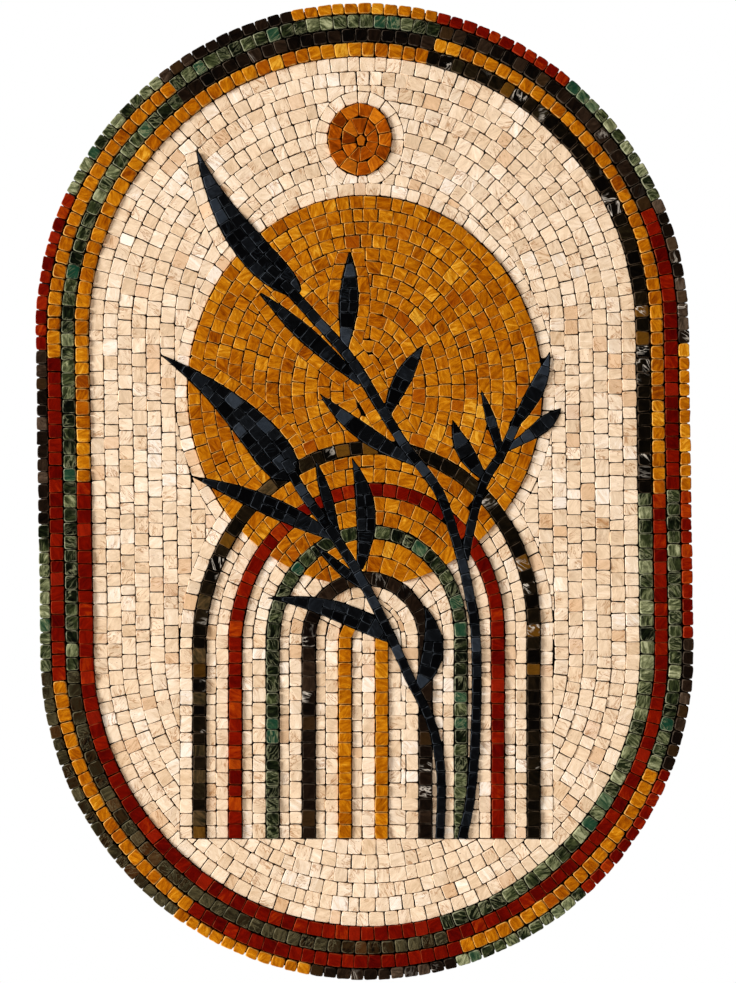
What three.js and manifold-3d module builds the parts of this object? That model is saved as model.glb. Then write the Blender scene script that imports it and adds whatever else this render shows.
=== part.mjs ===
// A mosaic wall panel of square-cut stones: a sun, a disc, nested arches and two leaf sprigs,
// in an upright field with round ends and a border of four rows of stones.
// Millimetres. +X is right, +Z is up, the picture faces -Y and the flat back lies on y = 0.
// The origin is the middle of the back.

import * as THREE from 'three';
import { mergeVertices } from 'three/addons/utils/BufferGeometryUtils.js';
import Module from 'manifold-3d';

const wasm = await Module();
wasm.setup();

// Driving dimensions of the panel
const PANEL_WIDTH = 510;
const PANEL_HEIGHT = 762;
const BED_DEPTH = 2.5;
const BED_INSET = 1.5;
const FIELD_STONE_DEPTH = 8;
const PICTURE_STONE_DEPTH = 9;
const STONE_PITCH = 10.5;
const JOINT = 0.8;

// The hand-laid border leans a little against the picture, its top to the left
const BORDER_LEAN = THREE.MathUtils.degToRad(0.83);
const ROW_WIDTHS = [8.4, 10.2, 9.8, 10.6];

// Worn corners of the outermost stones
const CORNER_DEPTH = 2.2;
const CORNER_LENGTH = 1.3;

// The picture: the sun and the disc are upright ovals
const SUN = { centre: [-3.7, 274.6], halfWidth: 24.8, halfHeight: 28.2, sides: 20 };
const DISC = { centre: [0.5, 78.4], halfWidth: 138.3, halfHeight: 152.3, sides: 36 };

// The arches are nested half ovals on straight legs, laid by hand: each has its own middle
// line, and its crown leans so far to the right of it. The span is measured to the middle of
// the band, and the rise is above the springing line.
const ARCH_SPRINGING = -115;
const ARCH_FOOT = -270.6;
const ARCH_BAND = 9.8;
const ARCH_SIDES = 16;
const ARCHES = [
  { colour: 'brown', middle: 1.5, halfSpan: 130.3, rise: 149.5, crownShift: 6 },
  { colour: 'red', middle: 1.6, halfSpan: 102.4, rise: 116.5, crownShift: 5 },
  { colour: 'green', middle: 1.7, halfSpan: 73.4, rise: 83.6, crownShift: 3 },
  { colour: 'dark', middle: 2, halfSpan: 45.5, rise: 47.3, crownShift: -0.6 },
  { colour: 'ochre', middle: -0.9, halfSpan: 14.3, rise: 15.6, crownShift: 0 },
];

// What the sprigs and the arches cut off a coloured area, by its size in square millimetres:
// under six stones it stays on the bed as loose fill, and a sliver is no stone at all
const SMALLEST_PIECE = 6 * STONE_PITCH ** 2;
const SMALLEST_FILL = 25;
const FILL_GRIP = 1;

// Sprigs: each stem is a smooth line through a few points, from its foot up, and it tapers.
// Each leaf has a base on its stem, a tip, a greatest width, the share of its length from
// the base where it is widest, and a bend, which is how far the middle of its rib lies to
// the left of the straight line from base to tip.
const STEM_STEP = 18;
const LEAF_STATIONS = 6;
const LEAF_STALK = 5;

const RIGHT_SPRIG = {
  stems: [
    {
      points: [[76, -270.6], [83, -236], [87, -178], [87, -116], [82.5, -84], [73.5, -45],
        [58, 0], [35.5, 30], [15, 61.5], [-10, 102], [-43, 140], [-64, 163]],
      footWidth: 6.5,
      tipWidth: 7,
    },
    {
      points: [[78, -53], [84, -22.5], [93.5, 8], [108, 31.5], [121, 59]],
      footWidth: 6,
      tipWidth: 6.5,
    },
  ],
  leaves: [
    { base: [-51, 155], tip: [-130.5, 266], width: 23.8, widest: 0.32, bend: 11 },
    { base: [-3, 85], tip: [-81.5, 155], width: 12.7, widest: 0.56, bend: 0.5 },
    { base: [-16, 109], tip: [-11.5, 186.5], width: 14.6, widest: 0.55, bend: -1.5 },
    { base: [17, 59], tip: [45.5, 113.5], width: 13.4, widest: 0.55, bend: 2 },
    { base: [42, 22], tip: [-35, 76], width: 12.9, widest: 0.53, bend: 4.8 },
    { base: [113, 48], tip: [144.5, 108.5], width: 12.2, widest: 0.55, bend: -4 },
    { base: [107, 32], tip: [153, 64.5], width: 12.3, widest: 0.7, bend: -2.7 },
    { base: [106, 30], tip: [91, 78.5], width: 7.3, widest: 0.53, bend: -0.4 },
    { base: [92, 12], tip: [68.5, 55.5], width: 12.7, widest: 0.5, bend: 2.8 },
  ],
};

const LEFT_SPRIG = {
  stems: [
    {
      points: [[58.5, -270.6], [60, -240], [58.5, -209], [51.5, -178.5], [36.5, -148],
        [22.5, -117.5], [7, -86], [-9, -57], [-27, -29.5], [-48, -0.5], [-62, 24.5]],
      footWidth: 6,
      tipWidth: 7,
    },
  ],
  leaves: [
    { base: [-57, 10], tip: [-158.5, 106.3], width: 27.6, widest: 0.21, bend: -8.4 },
    { base: [-26, -35], tip: [-134.5, 11.8], width: 14.2, widest: 0.46, bend: -2.7 },
    { base: [23, -115.5], tip: [-75, -83], width: 14.8, widest: 0.38, bend: -7.2 },
    { base: [-21, -36], tip: [-38, 23.5], width: 8.5, widest: 0.6, bend: -0.6 },
    { base: [-4, -60], tip: [-9.8, 26], width: 14.7, widest: 0.52, bend: -8 },
    { base: [3, -76], tip: [-40, -40], width: 7, widest: 0.5, bend: 1.6 },
    { base: [42, -152.5], tip: [46.5, -89.5], width: 15.4, widest: 0.46, bend: -9.3 },
  ],
};

// Border rows from the outside in. A row starts at an angle clockwise from the top of the
// panel, and goes on clockwise in runs of one colour, each a number of stones long.
const BORDER_ROWS = [
  {
    startAngle: -11.9,
    runs: [['ochre', 11], ['red', 11], ['green', 11], ['dark', 11], ['ochre', 11], ['red', 11],
      ['dark', 10], ['red', 11], ['green', 11], ['dark', 11], ['ochre', 11], ['olive', 21],
      ['green', 11], ['dark', 13], ['red', 12], ['green', 11], ['dark', 11]],
  },
  {
    startAngle: -37.1,
    runs: [['green', 21], ['dark', 21], ['red', 21], ['green', 21], ['ochre', 20], ['red', 21],
      ['ochre', 20], ['red', 24], ['ochre', 23]],
  },
  {
    startAngle: -37.5,
    runs: [['dark', 20], ['ochre', 41], ['red', 40], ['olive', 39], ['green', 45]],
  },
  {
    startAngle: 14.1,
    runs: [['brown', 40], ['green', 39], ['red', 51], ['ochre', 49]],
  },
];

const COLOURS = {
  bed: 0x2b2724,
  cream: 0xf0dcc2,
  ochre: 0xb8730f,
  sun: 0xa84d08,
  red: 0x961c0a,
  green: 0x4f6b55,
  olive: 0x3d4132,
  brown: 0x35241b,
  dark: 0x241d19,
  slate: 0x181d24,
};
const ROUGHNESS = 0.55;

// Sizes that follow from the ones above
const OUTER_RADIUS = PANEL_WIDTH / 2;
const HALF_STRAIGHT = (PANEL_HEIGHT - PANEL_WIDTH) / 2;
const CAP_SIDES = 28;

// A cutter reaches past the stones, in front and behind
const CUTTER_MARGIN = 2;

const materials = {};
for (const [name, colour] of Object.entries(COLOURS)) {
  materials[name] = { color: colour, roughness: ROUGHNESS, metalness: 0, flatShading: true };
}

function rowRadii(row) {
  const outside = ROW_WIDTHS.slice(0, row).reduce((sum, width) => sum + width + JOINT, 0);
  const outer = OUTER_RADIUS - outside;
  return { outer, inner: outer - ROW_WIDTHS[row] };
}

const FIELD_RADIUS = rowRadii(ROW_WIDTHS.length - 1).inner - JOINT;

function capsulePerimeter(radius) {
  return 2 * Math.PI * radius + 4 * HALF_STRAIGHT;
}

// A place on an upright capsule line, so many millimetres clockwise from its top,
// with the direction that points out of the capsule there
function capsulePlace(radius, along) {
  const quarter = (Math.PI * radius) / 2;
  const side = 2 * HALF_STRAIGHT;
  const onCap = (height, angle) => {
    const outward = new THREE.Vector2(Math.sin(angle), Math.cos(angle));
    const point = outward.clone().multiplyScalar(radius).add(new THREE.Vector2(0, height));
    return { point, outward };
  };
  const onSide = (sign, height) => ({
    point: new THREE.Vector2(sign * radius, height),
    outward: new THREE.Vector2(sign, 0),
  });
  let rest = THREE.MathUtils.euclideanModulo(along, capsulePerimeter(radius));
  if (rest < quarter) return onCap(HALF_STRAIGHT, rest / radius);
  rest -= quarter;
  if (rest < side) return onSide(1, HALF_STRAIGHT - rest);
  rest -= side;
  if (rest < 2 * quarter) return onCap(-HALF_STRAIGHT, Math.PI / 2 + rest / radius);
  rest -= 2 * quarter;
  if (rest < side) return onSide(-1, -HALF_STRAIGHT + rest);
  rest -= side;
  return onCap(HALF_STRAIGHT, (3 * Math.PI) / 2 + rest / radius);
}

function lean(points) {
  const middle = new THREE.Vector2(0, 0);
  return points.map((point) => point.clone().rotateAround(middle, BORDER_LEAN));
}

// The corners of a capsule line, as distances clockwise from its top: the ends of its round
// caps and the corners between them, from half a cap before the top to half a cap past it
function capsuleCorners(radius) {
  const capLength = Math.PI * radius;
  const corners = [];
  for (let cap = 0; cap <= 2; cap += 1) {
    const start = (cap - 0.5) * capLength + cap * 2 * HALF_STRAIGHT;
    for (let i = 0; i <= CAP_SIDES; i += 1) {
      corners.push(start + (capLength * i) / CAP_SIDES);
    }
  }
  return corners;
}

function capsuleOutline(radius) {
  const perimeter = capsulePerimeter(radius);
  const corners = capsuleCorners(radius).filter((along) => along >= 0 && along < perimeter);
  return lean(corners.map((along) => capsulePlace(radius, along).point));
}

function ovalOutline({ centre, halfWidth, halfHeight, sides }, grow = 0) {
  return Array.from({ length: sides }, (_, i) => {
    const angle = (2 * Math.PI * i) / sides;
    const x = centre[0] + (halfWidth + grow) * Math.cos(angle);
    const z = centre[1] + (halfHeight + grow) * Math.sin(angle);
    return new THREE.Vector2(x, z);
  });
}

function archOutline({ middle, halfSpan, rise, crownShift }, grow = 0) {
  const half = ARCH_BAND / 2 + grow;
  const foot = ARCH_FOOT - grow;
  const edge = (offset) => {
    const points = [new THREE.Vector2(middle + halfSpan + offset, foot)];
    for (let i = 0; i <= ARCH_SIDES; i += 1) {
      const angle = (Math.PI * i) / ARCH_SIDES;
      const shift = crownShift * Math.sin(angle);
      const x = middle + (halfSpan + offset) * Math.cos(angle) + shift;
      const z = ARCH_SPRINGING + (rise + offset) * Math.sin(angle);
      points.push(new THREE.Vector2(x, z));
    }
    points.push(new THREE.Vector2(middle - halfSpan - offset, foot));
    return points;
  };
  return [...edge(half), ...edge(-half).reverse()];
}

// The outline of a band along a curve, whose half width is a function of the share
// of the curve that is behind it
function bandOutline(curve, steps, halfWidth, endGrow) {
  const left = [];
  const right = [];
  for (let i = 0; i <= steps; i += 1) {
    const share = i / steps;
    const tangent = curve.getTangentAt(share);
    const point = curve.getPointAt(share);
    if (i === 0) point.addScaledVector(tangent, -endGrow);
    if (i === steps) point.addScaledVector(tangent, endGrow);
    const sideways = new THREE.Vector2(-tangent.y, tangent.x);
    const half = halfWidth(share);
    if (half > 0) {
      left.push(point.clone().addScaledVector(sideways, half));
      right.push(point.clone().addScaledVector(sideways, -half));
    } else {
      left.push(point);
    }
  }
  return [...left, ...right.reverse()];
}

function stemOutline({ points, footWidth, tipWidth }, grow = 0) {
  const curve = new THREE.SplineCurve(points.map(([x, z]) => new THREE.Vector2(x, z)));
  const steps = Math.round(curve.getLength() / STEM_STEP);
  const halfWidth = (share) => THREE.MathUtils.lerp(footWidth, tipWidth, share) / 2 + grow;
  return bandOutline(curve, steps, halfWidth, grow);
}

function leafOutline({ base, tip, width, widest, bend }, grow = 0) {
  const start = new THREE.Vector2(...base);
  const end = new THREE.Vector2(...tip);
  const along = end.clone().sub(start).normalize();
  const leftward = new THREE.Vector2(-along.y, along.x);
  const control = start.clone().lerp(end, 0.5).addScaledVector(leftward, 2 * bend);
  const rib = new THREE.QuadraticBezierCurve(start, control, end);
  const fullness = Math.log(0.5) / Math.log(widest);
  const halfWidth = (share) => {
    if (share === 1) return 0;
    const stalk = (LEAF_STALK / 2) * (1 - share);
    const blade = ((width - LEAF_STALK / 2) / 2) * Math.sin(Math.PI * share ** fullness);
    return stalk + blade + grow;
  };
  return bandOutline(rib, LEAF_STATIONS, halfWidth, 2 * grow);
}

// The outermost row: every stone's two outer corners are worn back, so the edge is scalloped
function wornEdge(at, outer, from, to, count) {
  const points = [];
  for (let joint = 0; joint <= count; joint += 1) {
    const along = THREE.MathUtils.lerp(from, to, joint / count);
    if (joint > 0) points.push(at(along - CORNER_LENGTH, outer));
    points.push(at(along, outer - CORNER_DEPTH));
    if (joint < count) points.push(at(along + CORNER_LENGTH, outer));
  }
  return points;
}

// The stones of one colour run: a strip along its row
function runOutline(row, firstStone, count, pitch) {
  const { outer, inner } = rowRadii(row);
  const middle = (outer + inner) / 2;
  const start = THREE.MathUtils.degToRad(BORDER_ROWS[row].startAngle) * middle;
  const from = start + firstStone * pitch + JOINT / 2;
  const to = start + (firstStone + count) * pitch - JOINT / 2;
  const at = (along, radius) => {
    const { point, outward } = capsulePlace(middle, along);
    return point.addScaledVector(outward, radius - middle);
  };
  const turns = capsuleCorners(middle).filter((along) => along > from && along < to);
  const bends = [from, ...turns, to];
  const plain = bends.map((along) => at(along, outer));
  const outside = row > 0 ? plain : wornEdge(at, outer, from, to, count);
  const inside = bends.map((along) => at(along, inner)).reverse();
  return lean([...outside, ...inside]);
}

// An outline in the picture plane becomes a slab that stands on the bed, its face to -Y
function slab(points, depth, below = 0) {
  const shape = new THREE.Shape(points);
  const geometry = new THREE.ExtrudeGeometry(shape, { depth: depth + below, bevelEnabled: false });
  geometry.translate(0, 0, -below);
  return geometry;
}

function standUp(geometry) {
  return geometry.rotateX(Math.PI / 2).translate(0, -BED_DEPTH, 0);
}

function toSolid(geometry) {
  geometry.deleteAttribute('normal');
  geometry.deleteAttribute('uv');
  const merged = mergeVertices(geometry);
  return new wasm.Manifold(new wasm.Mesh({
    numProp: 3,
    vertProperties: Float32Array.from(merged.attributes.position.array),
    triVerts: Uint32Array.from(merged.index.array),
  }));
}

function toGeometry(solid) {
  const { vertProperties, triVerts } = solid.getMesh();
  const geometry = new THREE.BufferGeometry();
  geometry.setAttribute('position', new THREE.BufferAttribute(vertProperties, 3));
  geometry.setIndex(new THREE.BufferAttribute(triVerts, 1));
  return geometry;
}

function join(solids) {
  return solids.reduce((whole, solid) => whole.add(solid));
}

function cutter(points) {
  return toSolid(slab(points, PICTURE_STONE_DEPTH + CUTTER_MARGIN, CUTTER_MARGIN));
}

function sprigOutlines({ stems, leaves }, grow = 0) {
  return [
    ...stems.map((stem) => stemOutline(stem, grow)),
    ...leaves.map((leaf) => leafOutline(leaf, grow)),
  ];
}

const panel = new THREE.Group();
const fills = [];

function addMesh(name, colour, geometry) {
  const mesh = new THREE.Mesh(geometry, new THREE.MeshStandardMaterial(materials[colour]));
  mesh.name = name;
  panel.add(mesh);
}

// The large parts of a cut area become pieces, from left to right, and the small ones fill
function addPieces(name, colour, solid, depth) {
  const area = (part) => part.volume() / depth;
  const parts = solid.decompose();
  const pieces = parts.filter((part) => area(part) >= SMALLEST_PIECE);
  pieces.sort((a, b) => a.boundingBox().min[0] - b.boundingBox().min[0]);
  pieces.forEach((piece, i) => {
    const pieceName = pieces.length > 1 ? `${name}_${i + 1}` : name;
    addMesh(pieceName, colour, standUp(toGeometry(piece)));
  });
  fills.push(...parts.filter((part) => area(part) < SMALLEST_PIECE && area(part) > SMALLEST_FILL));
}

// The bed of adhesive and mesh, with the loose fill standing in it
function addBacking() {
  const bed = toSolid(slab(capsuleOutline(OUTER_RADIUS - BED_INSET), 0, BED_DEPTH));
  const gripped = fills.flatMap((fill) => [fill, fill.translate([0, 0, -FILL_GRIP])]);
  addMesh('backing', 'bed', standUp(toGeometry(join([bed, ...gripped]))));
}

function addBorderRow(row) {
  const { runs } = BORDER_ROWS[row];
  const { outer, inner } = rowRadii(row);
  const stones = runs.reduce((sum, [, count]) => sum + count, 0);
  const pitch = capsulePerimeter((outer + inner) / 2) / stones;
  let firstStone = 0;
  runs.forEach(([colour, count], i) => {
    const geometry = slab(runOutline(row, firstStone, count, pitch), PICTURE_STONE_DEPTH);
    addMesh(`border_row_${row + 1}_run_${i + 1}_${colour}`, colour, standUp(geometry));
    firstStone += count;
  });
}

// The sprigs lie over the arches, the arches over the disc, and all of them over the field:
// each is cut out of what it lies over, a joint wider than itself
function addPicture() {
  const sprigs = { right: RIGHT_SPRIG, left: LEFT_SPRIG };
  const outlines = (grow) => Object.values(sprigs).flatMap((sprig) => sprigOutlines(sprig, grow));
  const sprigCut = join(outlines(JOINT).map(cutter));
  const archCut = join(ARCHES.map((arch) => cutter(archOutline(arch, JOINT))));
  const discCut = cutter(ovalOutline(DISC, JOINT));
  const sunCut = cutter(ovalOutline(SUN, JOINT));

  for (const [side, sprig] of Object.entries(sprigs)) {
    const stones = sprigOutlines(sprig).map((points) => toSolid(slab(points, PICTURE_STONE_DEPTH)));
    addMesh(`sprig_${side}`, 'slate', standUp(toGeometry(join(stones))));
  }
  addMesh('sun', 'sun', standUp(slab(ovalOutline(SUN), PICTURE_STONE_DEPTH)));
  for (const arch of ARCHES) {
    const stones = toSolid(slab(archOutline(arch), PICTURE_STONE_DEPTH)).subtract(sprigCut);
    addPieces(`arch_${arch.colour}`, arch.colour, stones, PICTURE_STONE_DEPTH);
  }
  const disc = toSolid(slab(ovalOutline(DISC), PICTURE_STONE_DEPTH));
  addPieces('disc', 'ochre', disc.subtract(sprigCut).subtract(archCut), PICTURE_STONE_DEPTH);
  const field = toSolid(slab(capsuleOutline(FIELD_RADIUS), FIELD_STONE_DEPTH));
  const cuts = join([sprigCut, archCut, discCut, sunCut]);
  addPieces('field', 'cream', field.subtract(cuts), FIELD_STONE_DEPTH);
}

BORDER_ROWS.forEach((_, row) => addBorderRow(row));
addPicture();
addBacking();

export default panel;
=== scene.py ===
"""A mosaic wall panel, dressed stone by stone: each tessera of the border, the field, the disc, the
sun, the arches and the sprigs is a cut block with its own worn edges, height, tilt and veining.

The picture plane is laid out in millimetres as complex numbers, x to the right and z up, and the
stones are built from it in metres, their faces to -Y. The flat back lies on y = 0.
"""

import cmath
import math
import random
from bisect import bisect
from collections import namedtuple

import bpy
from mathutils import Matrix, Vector
from mathutils.geometry import delaunay_2d_cdt


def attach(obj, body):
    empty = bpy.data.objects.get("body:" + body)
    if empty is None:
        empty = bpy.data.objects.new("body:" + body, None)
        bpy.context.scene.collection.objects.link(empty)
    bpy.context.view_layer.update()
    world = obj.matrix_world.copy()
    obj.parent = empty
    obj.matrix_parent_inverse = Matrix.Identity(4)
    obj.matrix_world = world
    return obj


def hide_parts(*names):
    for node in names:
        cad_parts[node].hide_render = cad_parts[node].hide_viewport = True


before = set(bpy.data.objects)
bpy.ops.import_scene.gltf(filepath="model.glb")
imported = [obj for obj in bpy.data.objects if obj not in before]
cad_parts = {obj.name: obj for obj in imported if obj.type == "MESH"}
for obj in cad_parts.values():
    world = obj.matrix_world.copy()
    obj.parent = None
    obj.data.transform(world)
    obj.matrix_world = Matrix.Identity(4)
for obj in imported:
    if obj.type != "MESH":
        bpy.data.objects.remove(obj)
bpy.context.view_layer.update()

MM = 0.001
TURN = 2 * math.pi

# Driving dimensions of the panel, in millimetres
PANEL_WIDTH = 510
PANEL_HEIGHT = 762
BED_DEPTH = 2.5
BED_INSET = 1.5
FIELD_STONE_DEPTH = 8
PICTURE_STONE_DEPTH = 9
STONE_PITCH = 10.5
JOINT = 0.8
CLEARANCE = JOINT * 0.6
OUTER_RADIUS = PANEL_WIDTH / 2
BED_RADIUS = OUTER_RADIUS - BED_INSET
HALF_STRAIGHT = (PANEL_HEIGHT - PANEL_WIDTH) / 2

# The hand-laid border leans a little against the picture, its top to the left
LEAN = cmath.exp(1j * math.radians(0.83))
ROW_WIDTHS = [8.4, 10.2, 9.8, 10.6]

Oval = namedtuple("Oval", ["centre", "half_width", "half_height"])
SUN = Oval(-3.7 + 274.6j, 24.8, 28.2)
SUN_CORE = Oval(SUN.centre + 1 - 1j, 4.5, 5.5)
DISC = Oval(0.5 + 78.4j, 138.3, 152.3)

# Nested arches, each with its own middle line, half the span and the rise of its band's middle,
# and how far its crown leans to the right
Arch = namedtuple("Arch", ["middle", "half_span", "rise", "crown_shift"])
ARCHES = {
    "brown": Arch(1.5, 130.3, 149.5, 6),
    "red": Arch(1.6, 102.4, 116.5, 5),
    "green": Arch(1.7, 73.4, 83.6, 3),
    "dark": Arch(2, 45.5, 47.3, -0.6),
    "ochre": Arch(-0.9, 14.3, 15.6, 0),
}
ARCH_SPRINGING = -115
ARCH_FOOT = -270.6
ARCH_BAND = 9.8

# Places on an arch line: below 0 on its right leg, up to pi on its bow, then on its left leg
LEG = ARCH_SPRINGING - ARCH_FOOT
RIGHT_FOOT = -LEG
LEFT_FOOT = math.pi + LEG

# Sprigs: each stem is a smooth line through a few points, as wide as given at its foot and at its
# tip, and each leaf has a base, a tip, a width, the share of its length where it is widest, and a
# bend to its left
LEAF_STALK = 5
Stem = namedtuple("Stem", ["points", "foot_width", "tip_width"])
Leaf = namedtuple("Leaf", ["base", "tip", "width", "widest", "bend"])
SPRIGS = {
    "right": {
        "stems": [
            Stem([76-270.6j, 83-236j, 87-178j, 87-116j, 82.5-84j, 73.5-45j, 58+0j, 35.5+30j,
                  15+61.5j, -10+102j, -43+140j, -64+163j], 6.5, 7),
            Stem([78-53j, 84-22.5j, 93.5+8j, 108+31.5j, 121+59j], 6, 6.5),
        ],
        "leaves": [
            Leaf(-51+155j, -130.5+266j, 23.8, 0.32, 11),
            Leaf(-3+85j, -81.5+155j, 12.7, 0.56, 0.5),
            Leaf(-16+109j, -11.5+186.5j, 14.6, 0.55, -1.5),
            Leaf(17+59j, 45.5+113.5j, 13.4, 0.55, 2),
            Leaf(42+22j, -35+76j, 12.9, 0.53, 4.8),
            Leaf(113+48j, 144.5+108.5j, 12.2, 0.55, -4),
            Leaf(107+32j, 153+64.5j, 12.3, 0.7, -2.7),
            Leaf(106+30j, 91+78.5j, 7.3, 0.53, -0.4),
            Leaf(92+12j, 68.5+55.5j, 12.7, 0.5, 2.8),
        ],
    },
    "left": {
        "stems": [
            Stem([58.5-270.6j, 60-240j, 58.5-209j, 51.5-178.5j, 36.5-148j, 22.5-117.5j, 7-86j,
                  -9-57j, -27-29.5j, -48-0.5j, -62+24.5j], 6, 7),
        ],
        "leaves": [
            Leaf(-57+10j, -158.5+106.3j, 27.6, 0.21, -8.4),
            Leaf(-26-35j, -134.5+11.8j, 14.2, 0.46, -2.7),
            Leaf(23-115.5j, -75-83j, 14.8, 0.38, -7.2),
            Leaf(-21-36j, -38+23.5j, 8.5, 0.6, -0.6),
            Leaf(-4-60j, -9.8+26j, 14.7, 0.52, -8),
            Leaf(3-76j, -40-40j, 7, 0.5, 1.6),
            Leaf(42-152.5j, 46.5-89.5j, 15.4, 0.46, -9.3),
        ],
    },
}

# Border rows from the outside in: the angle clockwise from the top where a row starts, and its
# runs of one colour, each a number of stones long
BORDER_ROWS = [
    (-11.9, [("ochre", 11), ("red", 11), ("green", 11), ("dark", 11), ("ochre", 11), ("red", 11),
             ("dark", 10), ("red", 11), ("green", 11), ("dark", 11), ("ochre", 11),
             ("olive", 21), ("green", 11), ("dark", 13), ("red", 12), ("green", 11),
             ("dark", 11)]),
    (-37.1, [("green", 21), ("dark", 21), ("red", 21), ("green", 21), ("ochre", 20),
             ("red", 21), ("ochre", 20), ("red", 24), ("ochre", 23)]),
    (-37.5, [("dark", 20), ("ochre", 41), ("red", 40), ("olive", 39), ("green", 45)]),
    (14.1, [("brown", 40), ("green", 39), ("red", 51), ("ochre", 49)]),
]

# How the rows are laid: their widths, the lengths of their stones, and how far the stones of one
# row are shifted against the next
BORDER_UNEVENNESS = 0.07
BORDER_INSET = 0.05
FIELD_PITCH = 11.1
FIELD_STONE_LENGTH = 10.75
FIELD_ROW_SHIFT = 20
RING_WIDTH = 9.7
RING_REACH = JOINT / 2 + RING_WIDTH
DISC_PITCH = 10.1
DISC_ROW_TURN = 6
FOLLOWING_WIDTH = DISC_PITCH * 0.92
SUN_RING = 9.8
SUN_OUTER_LENGTH = 10.3
SUN_INNER_LENGTH = 8.6
SUN_START = 0.5
LEAF_STONE_LENGTH = STONE_PITCH * 0.95
LEAF_STONE_WIDTH = 8.6

# How far the field, the arches and the stems reach past their own lines, and the cream row around
# the outer arch past its feet
FIELD_SPREAD = 1
ARCH_SPREAD = 0.2
STEM_SPREAD = 0.3
ARCH_FOOT_GAP = 0.5

# Lanes of stones between each arch and the next, as shares of the way in, and how far to the left
# the opening of the innermost arch is parted, as a share of half its span
LANES = {"right": [[0, 0.5, 1]] * 3 + [[0, 0.42, 0.58, 1]], "left": [[0, 0.44, 1]] * 4}
INNER_SPLIT = 0.1

# The stems and leaves that rows of the disc follow: sprig, kind, number, the share of its length
# where the rows start, and the sides that have one, 1 for the left
FOLLOWED = [
    ("right", "stems", 0, 0.55, (-1, 1)),
    ("left", "stems", 0, 0.7, (-1, 1)),
    ("left", "leaves", 0, 0.1, (-1,)),
    ("right", "leaves", 2, 0.1, (-1, 1)),
    ("right", "leaves", 1, 0.1, (1,)),
]

# The share of the big leaf's length where the cream row beside it starts
LEAF_RING_START = 0.35

# Hand-cut joints: half a joint on average, from nearly closed to wide open, how far a side turns
# from its row, in radians, and how far the ends of a joint lean in the rows that follow the border
HALF_JOINT = 0.3
LEAF_HALF_JOINT = HALF_JOINT * 0.8
GAP_RANGE = (0.15, 1.85)
SIDE_TURN = 0.022
BORDER_SLANT = 0.25

# Stones smaller than this are cut in one with a neighbour, where that makes no odd shape
SMALL_STONE = 48
SMALLEST_STONE = 9
LARGEST_STONE = 165
LONGEST_STONE = 17.5
FARTHEST_NEIGHBOUR = 1.7 * STONE_PITCH
WASTE = 12

# Less than this is no stone and no side of one, and corners as close as this are one corner
SLIVER = 1
SHORTEST_SIDE = 0.6
SAME_CORNER = 1e-4

# Finish of a stone, in millimetres: how far its corners are worn round, its bevel, how uneven
# its sides are, and how much its height differs from the next
CUT_CREAM = dict(corner=1.15, bevel=0.36, chip=0.25, sink=0.9, uneven=0.6, tilt=0.035)
CUT = dict(corner=0.9, bevel=0.5, chip=0.2, sink=0.05, uneven=0.4, tilt=0.03)
TUMBLED = dict(corner=1.7, bevel=0.75, chip=0.25, sink=0.05, uneven=0.4, tilt=0.035)

# How much corners and bevels vary, which sides are long enough for a chip and where it is, and the
# most that wear takes of a side or of half a stone
CORNER_RANGE = (0.6, 1.4)
BEVEL_RANGE = (0.7, 1.3)
CHIPPED_SIDE = 4
CHIP_PLACES = (0.4, 0.6)
MOST_WORN = 0.4
MOST_BEVEL = 0.45
LEAST_SIDE = 2

# Most stones stand high. Each stands a little in the bed and stays just below the solid's face
HEIGHT_POWER = 1.5
FOOT_DEPTH = 0.2
LEAST_DROP = 0.01

# The edge of a stone from its side to its face, in bevels inward and below the face, and how much
# of the paler rim shows there. The paler rim is partly worn edge and partly a painted highlight
# where the bevel catches the light.
EDGE_STEPS = [(0.0, 1.0, 0.5), (0.28, 0.3, 1.0), (1.0, 0.0, 0.0)]

# The bed has the strands of a fibre net pressed into its back
NET_PITCH = 6
NET_MARGIN = 1
STRAND_WIDTH = 1.3
STRAND_RELIEF = 0.35
STRAND_ROOT = 0.1


# Plane geometry

def unit(vector):
    return vector / abs(vector)


def cross(a, b):
    return (a.conjugate() * b).imag


def dot(a, b):
    return (a.conjugate() * b).real


def lerp(a, b, share):
    return a + (b - a) * share


def area(outline):
    return sum(cross(a, b) for a, b in zip(outline, outline[1:] + outline[:1])) / 2


def centre(outline):
    return sum(outline) / len(outline)


def longest(outline):
    return max(abs(a - b) for a in outline for b in outline)


def hull(points):
    """The convex outline around some points, counter-clockwise."""
    ordered = sorted(set(points), key=lambda p: (p.real, p.imag))

    def chain(points):
        line = []
        for point in points:
            while len(line) > 1 and cross(line[-1] - line[-2], point - line[-1]) <= 0:
                line.pop()
            line.append(point)
        return line[:-1]

    return chain(ordered) + chain(ordered[::-1])


def simplify(outline, slack=0.4):
    """The outline without the corners that lie almost on the line past them."""
    outline = list(outline)
    while len(outline) > 3:
        bends = []
        for i, here in enumerate(outline):
            before, after = outline[i - 1], outline[(i + 1) % len(outline)]
            base = max(abs(after - before), 1e-6)
            bends.append(abs(cross(here - before, after - before)) / base)
        flattest = min(range(len(bends)), key=bends.__getitem__)
        if bends[flattest] > slack:
            break
        del outline[flattest]
    return outline


def loops(triangles):
    """The closed lines around a patch of triangles."""
    edges = {edge for a, b, c in triangles for edge in ((a, b), (b, c), (c, a))}
    following = {}
    for a, b in sorted(edge for edge in edges if edge[::-1] not in edges):
        following.setdefault(a, []).append(b)
    found = []
    while following:
        start = min(following)
        loop = [start]
        while True:
            here = loop[-1]
            after = following[here].pop()
            if not following[here]:
                del following[here]
            if after == start:
                break
            loop.append(after)
        found.append(loop)
    return found


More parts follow.
